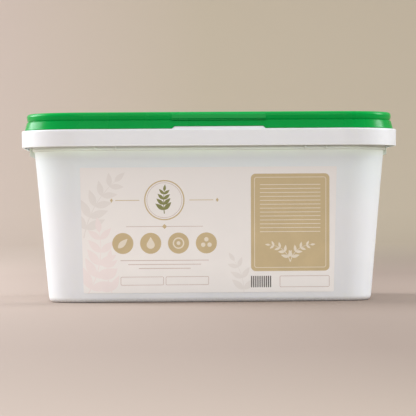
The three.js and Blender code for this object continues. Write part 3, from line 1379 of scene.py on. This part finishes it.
@dataclass
class Lid(Moulding):
    """Green moulding: two tiers, bead, stacking seat, raised panel, plug and finger tab."""

    finish: MouldedPlastic = LID_GREEN
    name: str = "lid_moulding"
    node: str = "lid"
    slot: str = "lid_green"
    foot: float = field(default_factory=lambda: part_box("lid")[0].z)
    top: float = field(default_factory=lambda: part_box("lid")[1].z)
    wall: float = 1.7 * MM
    lower_foot: float = 3.4 * MM
    lower_head: float = 5.5 * MM
    lower_top: float = 188.9 * MM
    valley_inset: float = 6.9 * MM
    valley_height: float = 189.6 * MM
    upper_inset: float = 5.5 * MM
    upper_tuck: float = 0.7 * MM
    tuck_fullness: float = 1.9
    upper_bottom: float = 190.5 * MM
    bead_outer_round: float = 3.2 * MM
    bead_inner_round: float = 1.9 * MM
    bead_inner_inset: float = 14 * MM
    seat: float = 190 * MM
    seat_inset: float = 16.6 * MM
    ridge_inset: float = 26 * MM
    ridge_width: float = 2.4 * MM
    ridge_height: float = 0.9 * MM
    panel_inset: float = 50 * MM
    panel_rise: float = 1.2 * MM
    channel_inset: float = 8.6 * MM
    plug_inset: float = 12.6 * MM
    plug_draft: float = 0.3 * MM
    plug_wall: float = 1.6 * MM
    plug_bottom: float = 182.5 * MM
    edge_round: float = 0.6 * MM
    small_round: float = 0.3 * MM
    tab_root: float = 1.2 * MM
    tab_bevel: float = 0.25 * MM
    pad_proud: float = 0.8 * MM
    pad_bottom: float = 190.8 * MM
    pad_top: float = 196.2 * MM
    fin_proud: float = 1.2 * MM
    fin_bottom: float = 189.5 * MM
    fin_top: float = 190.3 * MM

    def top_section(self) -> list[Turn]:
        """Section of the raised panel, seat, ridge and bead.

        Returns:
            Corners of the section.
        """
        edge = self.edge_round
        panel_top = self.seat + self.panel_rise
        ridge_top = self.seat + self.ridge_height
        slope = self.ridge_height / 2
        return [
            Turn(self.panel_inset + self.wall, panel_top),
            Turn(self.panel_inset, panel_top, edge),
            Turn(self.panel_inset - self.panel_rise, self.seat, edge),
            Turn(self.ridge_inset + self.ridge_width, self.seat, self.small_round),
            Turn(self.ridge_inset + self.ridge_width - slope, ridge_top, self.small_round),
            Turn(self.ridge_inset + slope, ridge_top, self.small_round),
            Turn(self.ridge_inset, self.seat, self.small_round),
            Turn(self.seat_inset, self.seat, edge),
            Turn(self.bead_inner_inset, self.top, self.bead_inner_round),
            Turn(self.upper_inset, self.top, self.bead_outer_round),
        ]

    def side_section(self) -> list[Turn]:
        """Section of the tucked-in upper tier, the valley and the flared lower tier.

        Returns:
            Corners of the section.
        """
        bead_foot = self.top - self.bead_outer_round
        tuck_start = (bead_foot + self.upper_bottom) / 2
        tuck_round = (bead_foot - tuck_start) ** 2 / self.upper_tuck
        return [
            Turn(self.upper_inset, tuck_start, self.tuck_fullness * tuck_round),
            Turn(self.upper_inset + self.upper_tuck, self.upper_bottom, self.small_round),
            Turn(self.valley_inset, self.valley_height, self.small_round),
            Turn(self.lower_head, self.lower_top, self.edge_round),
            Turn(self.lower_foot, self.foot + self.edge_round, self.edge_round / 2),
            Turn(self.lower_foot, self.foot, self.small_round / 2),
        ]

    def under_section(self) -> list[Turn]:
        """Section of the skirt's inside, the channel over the lip, the plug and the underside.

        Returns:
            Corners of the section.
        """
        edge = self.edge_round
        channel_top = self.top - self.wall
        plug_inner = self.plug_inset + self.plug_wall
        under = self.seat - self.wall
        return [
            Turn(self.lower_foot + self.wall, self.foot, self.small_round),
            Turn(self.lower_head + self.wall, self.lower_top - 2 * self.wall, edge),
            Turn(self.channel_inset, self.lower_top, edge),
            Turn(self.channel_inset, channel_top, edge),
            Turn(self.plug_inset, channel_top, edge),
            Turn(self.plug_inset + self.plug_draft, self.plug_bottom, edge),
            Turn(plug_inner, self.plug_bottom, edge),
            Turn(plug_inner + self.plug_draft, under, edge),
            Turn(self.panel_inset - 2 * self.panel_rise, under, edge),
            Turn(self.panel_inset - self.panel_rise, under + self.panel_rise, edge),
            Turn(self.panel_inset + self.wall, under + self.panel_rise),
        ]

    def pad(self) -> bmesh.types.BMesh:
        """Raised pad of the finger tab, sunk into the upper tier.

        Returns:
            The pad's mesh.
        """
        front = self.upper_inset - self.pad_proud
        root = self.upper_inset + self.tab_root
        outline = [
            (root, self.pad_bottom),
            (root, self.pad_top),
            (self.upper_inset, self.pad_top),
            (front, self.pad_top - self.pad_proud),
            (front, self.pad_bottom),
        ]
        return self.plan.front_bar(outline, self.notch.width, self.notch.centre, self.tab_bevel)

    def fin(self) -> bmesh.types.BMesh:
        """Thin fin along the valley under the pad.

        Returns:
            The fin's mesh.
        """
        front = self.upper_inset - self.fin_proud
        root = self.valley_inset + self.tab_root / 2
        outline = [
            (root, self.fin_bottom),
            (root, self.fin_top),
            (front, self.fin_top),
            (front, self.fin_bottom),
        ]
        return self.plan.front_bar(outline, self.notch.width, self.notch.centre, self.tab_bevel)

    def build(self) -> bpy.types.Object:
        """Mould the lid, dress it and hand it to the frame.

        Returns:
            The finished piece.
        """
        turns = self.top_section() + self.side_section() + self.under_section()
        piece = make_object(self.name, self.plan.sweep(turns))
        combine(piece, self.pad(), Join.ADD)
        combine(piece, self.fin(), Join.ADD)
        heights = (self.foot - self.wall, self.notch.top)
        combine(piece, self.notch.block(heights, (0.0, self.channel_inset)), Join.CUT)
        combine(piece, self.gate.mesh(self.seat + self.panel_rise), Join.ADD)
        self.dress(piece)
        return piece


@dataclass(frozen=True)
class GoldPanel:
    """Gold panel with a cream frame, ruled lines and a pair of sprigs.

    Attributes:
        low: Lower left corner.
        high: Upper right corner.
        corner: Radius of its corners.
        margin: Distance of the frame from its edge.
        frame_width: Thickness of the frame.
        frame_corner: Radius of the frame's corners.
        rows: Number of ruled lines.
        row_drop: Distance of the first line below the frame.
        row_pitch: Distance between lines.
        row_indent: Distance of the lines' ends from the frame.
        row_width: Thickness of the lines.
        sprig_foot: Height of the sprigs' foot above the frame.
        sprig_reach: How far each sprig reaches, along X and up.
        sprig_bend: How far each stem bows.
        sprig_pairs: Pairs of leaves on each sprig.
        sprig_leaf: Length of the lowest leaves.
        sprig_stem: Width of the stems.
    """

    low: Spot = (44 * MM, 22 * MM)
    high: Spot = (126 * MM, 124 * MM)
    corner: float = 5 * MM
    margin: float = 3.5 * MM
    frame_width: float = 0.6 * MM
    frame_corner: float = 2.5 * MM
    rows: int = 13
    row_drop: float = 8 * MM
    row_pitch: float = 4.1 * MM
    row_indent: float = 6 * MM
    row_width: float = 0.7 * MM
    sprig_foot: float = 6 * MM
    sprig_reach: Spot = (22 * MM, 18 * MM)
    sprig_bend: float = 5 * MM
    sprig_pairs: int = 4
    sprig_leaf: float = 9 * MM
    sprig_stem: float = 0.8 * MM

    def patches(self) -> list[Patch]:
        """Panel and what is printed on it.

        Returns:
            The shapes, in printing order.
        """
        low = (self.low[0] + self.margin, self.low[1] + self.margin)
        high = (self.high[0] - self.margin, self.high[1] - self.margin)
        shapes = [block(Ink.GOLD, self.low, self.high, self.corner)]
        shapes += frame_line(Ink.CREAM, Ink.GOLD, low, high, self.frame_width, self.frame_corner)
        start, end = low[0] + self.row_indent, high[0] - self.row_indent
        for row in range(self.rows):
            height = high[1] - self.row_drop - row * self.row_pitch
            shapes.append(rule(Ink.CREAM, start, end, height, self.row_width))
        foot = ((self.low[0] + self.high[0]) / 2, low[1] + self.sprig_foot)
        for side in (-1, 1):
            tip = (foot[0] + side * self.sprig_reach[0], foot[1] + self.sprig_reach[1])
            sprig = Sprig(Ink.CREAM, foot, tip, side * self.sprig_bend, self.sprig_pairs,
                          self.sprig_leaf, self.sprig_stem)
            shapes += sprig.patches()
        return shapes


@dataclass(frozen=True)
class RingBadge:
    """Ring with an olive sprig inside, and a rule and a diamond on either side.

    Attributes:
        centre: Centre of the ring.
        radius: Outer radius of the ring.
        discs: Inks of its discs and how far in each one starts, from the largest.
        sides: Sides that a disc is drawn with.
        sprig_heights: Foot and tip of the sprig, from the centre up.
        sprig_bend: How far its stem bows.
        sprig_pairs: Pairs of leaves on it.
        sprig_leaf: Length of its lowest leaves.
        sprig_stem: Width of its stem.
        rule_reach: Where a rule starts and ends, out from the ring.
        rule_width: Thickness of a rule.
        diamond_reach: Where a diamond sits, out from the ring.
        diamond_half: Half the width and height of a diamond.
    """

    centre: Spot = (-46 * MM, 97 * MM)
    radius: float = 21 * MM
    discs: tuple[tuple[Ink, float], ...] = (
        (Ink.GOLD, 0 * MM),
        (Ink.FILM, 1.3 * MM),
        (Ink.ROSE, 2.6 * MM),
        (Ink.FILM, 3 * MM),
    )
    sides: int = 96
    sprig_heights: Span = (-14 * MM, 10 * MM)
    sprig_bend: float = 0.8 * MM
    sprig_pairs: int = 4
    sprig_leaf: float = 12 * MM
    sprig_stem: float = 1 * MM
    rule_reach: Span = (5 * MM, 30 * MM)
    rule_width: float = 0.7 * MM
    diamond_reach: float = 34 * MM
    diamond_half: Spot = (1.6 * MM, 2.2 * MM)

    def patches(self) -> list[Patch]:
        """Ring, sprig, rules and diamonds.

        Returns:
            The shapes, in printing order.
        """
        x, y = self.centre
        shapes = [disc(ink, self.centre, self.radius - inset, self.sides) for ink, inset in self.discs]
        foot, tip = [(x, y + height) for height in self.sprig_heights]
        shapes += Sprig(Ink.OLIVE, foot, tip, self.sprig_bend, self.sprig_pairs, self.sprig_leaf,
                        self.sprig_stem).patches()
        for side in (-1, 1):
            start, end = sorted(x + side * (self.radius + reach) for reach in self.rule_reach)
            shapes.append(rule(Ink.GOLD, start, end, y, self.rule_width))
            middle = (x + side * (self.radius + self.diamond_reach), y)
            shapes.append(diamond(Ink.GOLD, middle, *self.diamond_half))
        return shapes


@dataclass(frozen=True)
class MedallionRow:
    """Four gold discs in a row, with a leaf, a drop, a ring and three berries on them.

    Attributes:
        middle: Middle of the row along X.
        height: Height of the row on the film.
        radius: Radius of a disc.
        pitch: Distance between discs.
        places: Places of the discs, in pitches from the middle.
        leaf_start: How far left of and below its disc's centre the leaf starts.
        leaf_heading: Direction of the leaf, anticlockwise from +X.
        leaf_size: Length and width of the leaf.
        drop_fall: How far the drop's round part sits below its disc's centre.
        drop_size: Radius of the drop's round part, and its height above that part's centre.
        ring_discs: Inks and radii of the discs that make the ring.
        berries: Number of berries.
        berry_reach: Distance of the berries from their disc's centre.
        berry_radius: Radius of a berry.
    """

    middle: float
    height: float = 52 * MM
    radius: float = 11 * MM
    pitch: float = 29 * MM
    places: tuple[float, ...] = (-1.5, -0.5, 0.5, 1.5)
    leaf_start: float = 5 * MM
    leaf_heading: float = math.radians(45)
    leaf_size: Spot = (14 * MM, 6 * MM)
    drop_fall: float = 1.6 * MM
    drop_size: Spot = (4.2 * MM, 8 * MM)
    ring_discs: tuple[tuple[Ink, float], ...] = (
        (Ink.CREAM, 6 * MM),
        (Ink.GOLD, 4.6 * MM),
        (Ink.CREAM, 2 * MM),
    )
    berries: int = 3
    berry_reach: float = 3.8 * MM
    berry_radius: float = 2.3 * MM

    def patches(self) -> list[Patch]:
        """Discs and the motifs on them.

        Returns:
            The shapes, in printing order.
        """
        centres = [(self.middle + place * self.pitch, self.height) for place in self.places]
        shapes = [disc(Ink.GOLD, centre, self.radius) for centre in centres]
        first, second, third, fourth = centres
        leaf_base = (first[0] - self.leaf_start, self.height - self.leaf_start)
        shapes.append(leaf(Ink.CREAM, leaf_base, self.leaf_heading, *self.leaf_size))
        shapes.append(drop(Ink.CREAM, (second[0], self.height - self.drop_fall), *self.drop_size))
        shapes += [disc(ink, third, radius) for ink, radius in self.ring_discs]
        for berry in range(self.berries):
            angle = RIGHT_ANGLE + berry * math.tau / self.berries
            across, up = self.berry_reach * math.cos(angle), self.berry_reach * math.sin(angle)
            shapes.append(disc(Ink.CREAM, (fourth[0] + across, self.height + up), self.berry_radius))
        return shapes


@dataclass(frozen=True)
class EmptyBox:
    """Line round an empty box.

    Attributes:
        line: Thickness of the line.
        corner: Radius of its corners.
    """

    line: float = 0.5 * MM
    corner: float = 1.5 * MM

    def patches(self, low: Spot, high: Spot) -> list[Patch]:
        """The box between two corners."""
        return frame_line(Ink.ROSE, Ink.FILM, low, high, self.line, self.corner)


@dataclass(frozen=True)
class RuledLines:
    """Divider with a diamond over the medallions, rules under them, and two boxes along the foot.

    Attributes:
        middle: Middle along X.
        divider_height: Height of the divider.
        divider_half: Half the divider's length.
        divider_width: Thickness of the divider.
        diamond_half: Half the diamond's width and height.
        rule_halves: Half the length of each rule, from the top.
        rule_top: Height of the uppermost rule.
        rule_pitch: Distance between rules.
        rule_width: Thickness of the rules.
        box: Line of the boxes.
        box_reach: Where a box starts and ends, out from the middle.
        box_heights: Lower and upper edge of the boxes.
    """

    middle: float
    divider_height: float = 69.5 * MM
    divider_half: float = 40 * MM
    divider_width: float = 0.5 * MM
    diamond_half: float = 2.6 * MM
    rule_halves: tuple[float, ...] = (46 * MM, 38 * MM, 27 * MM)
    rule_top: float = 34 * MM
    rule_pitch: float = 4.2 * MM
    rule_width: float = 0.6 * MM
    box: EmptyBox = EmptyBox()
    box_reach: Span = (1 * MM, 46 * MM)
    box_heights: Span = (8 * MM, 17 * MM)

    def patches(self) -> list[Patch]:
        """Divider, rules and boxes.

        Returns:
            The shapes, in printing order.
        """
        x, y = self.middle, self.divider_height
        shapes = [rule(Ink.ROSE, x - self.divider_half, x + self.divider_half, y, self.divider_width)]
        shapes.append(diamond(Ink.GOLD, (x, y), self.diamond_half, self.diamond_half))
        for row, half in enumerate(self.rule_halves):
            height = self.rule_top - row * self.rule_pitch
            shapes.append(rule(Ink.ROSE, x - half, x + half, height, self.rule_width))
        low, high = self.box_heights
        for side in (-1, 1):
            start, end = sorted(x + side * reach for reach in self.box_reach)
            shapes += self.box.patches((start, low), (end, high))
        return shapes


@dataclass(frozen=True)
class BarBlock:
    """Block of even dark bars with an empty box beside it.

    Attributes:
        start: Left edge of the bars.
        end: Right edge of the box.
        heights: Lower and upper edge of both.
        bars: Number of bars.
        bar_pitch: Distance between bars.
        bar_width: Width of a bar.
        box: Line of the box.
        box_start: Left edge of the box, from that of the bars.
    """

    start: float
    end: float
    heights: Span = (5 * MM, 17 * MM)
    bars: int = 10
    bar_pitch: float = 2.2 * MM
    bar_width: float = 1.2 * MM
    box: EmptyBox = EmptyBox()
    box_start: float = 30 * MM

    def patches(self) -> list[Patch]:
        """Bars and box.

        Returns:
            The shapes, in printing order.
        """
        low, high = self.heights
        shapes = []
        for bar in range(self.bars):
            left = self.start + bar * self.bar_pitch
            shapes.append(block(Ink.CHARCOAL, (left, low), (left + self.bar_width, high)))
        return shapes + self.box.patches((self.start + self.box_start, low), (self.end, high))


@dataclass
class Label:
    """Printed film on the front wall, with a plain leafy design of its own.

    Places on the film are measured from the middle of its lower edge, along X and up the wall.
    """

    tub: Tub
    name: str = "label_print"
    node: str = "label"
    slot: str = "label_film"
    centre: float = -2.4 * MM
    bottom: float = 10.1 * MM
    top: float = 140.9 * MM
    bottom_width: float = 261.2 * MM
    top_width: float = 267.2 * MM
    corner: float = 1 * MM
    lift: float = 0.03 * MM
    thickness: float = 0.3 * MM
    faint_sprigs: tuple[Sprig, ...] = (
        Sprig(Ink.GREY, (-130 * MM, 58 * MM), (-96 * MM, 118 * MM), 6 * MM, 5, 24 * MM, 1.2 * MM),
        Sprig(Ink.PINK, (-128 * MM, -4 * MM), (-114 * MM, 66 * MM), -7 * MM, 5, 27 * MM, 1.4 * MM),
        Sprig(Ink.PINK, (-98 * MM, -6 * MM), (-104 * MM, 36 * MM), 4 * MM, 3, 20 * MM, 1.2 * MM),
        Sprig(Ink.GREY, (36 * MM, -6 * MM), (26 * MM, 34 * MM), -4 * MM, 3, 18 * MM, 1 * MM),
    )
    panel: GoldPanel = GoldPanel()
    badge: RingBadge = RingBadge()

    def outline(self) -> list[Vector]:
        """Outline of the film, a little wider at the top.

        Returns:
            Points along the outline.
        """
        tall = (self.top - self.bottom) / math.cos(self.tub.draft)
        low, high = self.bottom_width / 2, self.top_width / 2
        return round_outline([(-low, 0.0), (low, 0.0), (high, tall), (-high, tall)], self.corner)

    def patches(self) -> list[Patch]:
        """Bare film and everything that is printed on it.

        Returns:
            The shapes, in printing order.
        """
        middle = self.badge.centre[0]
        bars = BarBlock(self.panel.low[0], self.panel.high[0])
        groups = (*self.faint_sprigs, self.panel, self.badge, MedallionRow(middle),
                  RuledLines(middle), bars)
        printed = [patch for group in groups for patch in group.patches()]
        return [Patch(Ink.FILM, self.outline())] + printed

    def on_wall(self, spot: Vector, lift: float) -> Vector:
        """Point over the front wall.

        Args:
            spot: Place on the film.
            lift: Distance in front of the wall.

        Returns:
            The point in the frame.
        """
        draft = self.tub.draft
        up = self.bottom / math.cos(draft) + spot.y
        foot = self.tub.base_inset - self.tub.plan.half_depth
        y = foot - up * math.sin(draft) - lift * math.cos(draft)
        z = up * math.cos(draft) - lift * math.sin(draft)
        return Vector((self.centre + spot.x, y, z))

    def mesh(self) -> bmesh.types.BMesh:
        """Thin closed film whose front face is cut along every printed outline.

        Returns:
            The film's mesh.
        """
        patches = self.patches()
        order = list(Ink)
        spots, loops = [], []
        for patch in patches:
            loops.append(list(range(len(spots), len(spots) + len(patch.outline))))
            spots += patch.outline
        flat, _, triangles, _, _, sources = delaunay_2d_cdt(
            spots, [], loops, INSIDE_OUTLINES, MERGE_DISTANCE)
        mesh = bmesh.new()
        front = [mesh.verts.new(self.on_wall(spot, self.lift + self.thickness)) for spot in flat]
        back = [mesh.verts.new(self.on_wall(spot, self.lift)) for spot in flat]
        edges: list[tuple[int, int]] = []
        for triangle, source in zip(triangles, sources):
            if 0 not in source:
                continue
            face = mesh.faces.new([front[index] for index in triangle])
            face.material_index = order.index(patches[max(source)].ink)
            mesh.faces.new([back[index] for index in reversed(triangle)])
            edges += zip(triangle, triangle[1:] + triangle[:1])
        known = set(edges)
        for start, end in edges:
            if (end, start) not in known:
                mesh.faces.new((front[end], front[start], back[start], back[end]))
        loose = [vertex for vertex in mesh.verts if not vertex.link_faces]
        bmesh.ops.delete(mesh, geom=loose, context="VERTS")
        return mesh

    def build(self) -> bpy.types.Object:
        """Make the film and dress it.

        Returns:
            The finished piece.
        """
        piece = make_object(self.name, self.mesh())
        self.dress(piece)
        return piece

    def dress(self, piece: bpy.types.Object) -> None:
        """Give the film its inks and hand it to the frame.

        Args:
            piece: Finished film.
        """
        for ink in Ink:
            piece.data.materials.append(ink.value.material())
        register(piece, self.node)


@dataclass(frozen=True)
class SoftBox:
    """Rectangular soft light.

    Attributes:
        name: Name of the light.
        place: Where it stands.
        size: Width and height.
        power: Power in watts.
        target: What it faces, the middle of the tub unless given.
        colour: Colour of its light.
    """

    name: str
    place: Place
    size: Spot
    power: float
    target: Place = (0.0, 0.0, 0.1)
    colour: Colour = (0.95, 0.985, 1.04)

    def build(self) -> bpy.types.Object:
        """Set up the light.

        Returns:
            The light.
        """
        data = bpy.data.lights.new(self.name, "AREA")
        data.shape = "RECTANGLE"
        data.size, data.size_y = self.size
        data.energy = self.power
        data.color = self.colour
        light = bpy.data.objects.new(self.name, data)
        light.location = self.place
        facing = Vector(self.target) - Vector(self.place)
        light.rotation_euler = facing.to_track_quat("-Z", "Y").to_euler()
        light.visible_camera = False
        bpy.context.scene.collection.objects.link(light)
        return light


@dataclass
class Studio:
    """Paper bowl round the tub, soft lights and the camera."""

    paper: PaperSweep = field(default_factory=PaperSweep)
    floor_radius: float = 4.0
    sweep_radius: float = 1.6
    wall_top: float = 2.6
    bowl_sides: int = 96
    ambient: float = 0.64
    ambient_colour: Colour = (0.95, 0.985, 1.03)
    eye_distance: float = 2.75
    eye_height: float = 98.2 * MM
    yaw: float = math.radians(1.62)
    roll: float = math.radians(0.40)
    focal_pixels: float = 2518.8
    centre_pixel: float = 207.4
    sensor: float = 36.0
    soft_boxes: tuple[SoftBox, ...] = (
        SoftBox("left_box", place=(-2.2, 0.9, 1.15), size=(1.8, 1.5), power=88.0),
        SoftBox("right_box", place=(1.6, 0.15, 0.75), size=(0.5, 0.8), power=19.0),
        SoftBox("top_box", place=(0.0, 0.1, 1.9), size=(1.4, 1.2), power=9.0),
        SoftBox("front_box", place=(0.3, -2.5, 0.6), size=(1.6, 0.5), power=20.0),
        SoftBox("high_box", place=(-0.3, -1.7, 2.0), size=(1.4, 1.0), power=8.0),
        SoftBox("wall_box", place=(-1.2, 3.0, 2.4), size=(3.0, 1.2), power=37.0, target=(-0.8, 5.2, 0.3)),
    )

    def bowl(self) -> bpy.types.Object:
        """Floor that curves up into a wall all round.

        Returns:
            The bowl.
        """
        profile = round_section([
            Turn(0.0, 0.0),
            Turn(self.floor_radius + self.sweep_radius, 0.0, self.sweep_radius),
            Turn(self.floor_radius + self.sweep_radius, self.wall_top),
        ])
        mesh = bmesh.new()
        rings = []
        for point in profile[1:]:
            ring = []
            for side in range(self.bowl_sides):
                angle = math.tau * side / self.bowl_sides
                x, y = point.x * math.cos(angle), point.x * math.sin(angle)
                ring.append(mesh.verts.new((x, y, point.y)))
            rings.append(ring)
        mesh.faces.new(rings[0])
        band_rings(mesh, rings)
        bowl = make_object("paper_bowl", mesh)
        bowl.data.shade_smooth()
        bowl.data.materials.append(self.paper.material())
        return bowl

    def world(self) -> None:
        """Even dim light from all round."""
        world = bpy.data.worlds.new("studio_air")
        world.use_nodes = True
        background = world.node_tree.nodes["Background"]
        background.inputs["Color"].default_value = (*self.ambient_colour, 1.0)
        background.inputs["Strength"].default_value = self.ambient
        bpy.context.scene.world = world

    def camera(self) -> bpy.types.Object:
        """Camera level with the middle of the tub, a touch to its left and slightly rolled.

        Returns:
            The camera.
        """
        data = bpy.data.cameras.new("photo_camera")
        data.sensor_width = self.sensor
        data.lens = self.sensor * self.focal_pixels / IMAGE_SIDE
        data.shift_x = (IMAGE_SIDE / 2 - self.centre_pixel) / IMAGE_SIDE
        forward = Vector((math.sin(self.yaw), math.cos(self.yaw), 0.0))
        upright = Vector((0.0, 0.0, 1.0))
        level = forward.cross(upright)
        right = level * math.cos(self.roll) - upright * math.sin(self.roll)
        above = level * math.sin(self.roll) + upright * math.cos(self.roll)
        turn = Matrix((right, above, -forward)).transposed().to_4x4()
        eye = Vector((0.0, 0.0, self.eye_height)) - forward * self.eye_distance
        camera = bpy.data.objects.new("photo_camera", data)
        camera.matrix_world = Matrix.Translation(eye) @ turn
        bpy.context.scene.collection.objects.link(camera)
        bpy.context.scene.camera = camera
        return camera

    def build(self) -> None:
        """Set up floor, lights, surroundings and camera."""
        self.bowl()
        for soft_box in self.soft_boxes:
            soft_box.build()
        self.world()
        self.camera()
        bpy.context.scene.view_settings.view_transform = "Standard"


def main() -> None:
    """Build the tub, the lid and the label, then the studio round them."""
    logging.basicConfig(level=logging.INFO, format="%(name)s: %(message)s")
    LOG.info("packed nodes: %s", ", ".join(sorted(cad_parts)))
    plan = RimPlan.from_frame()
    notch = PryNotch(plan)
    tub = Tub(plan, notch)
    tub.build()
    Lid(plan, notch).build()
    Label(tub).build()
    Studio().build()


if __name__ == "__main__":
    main()
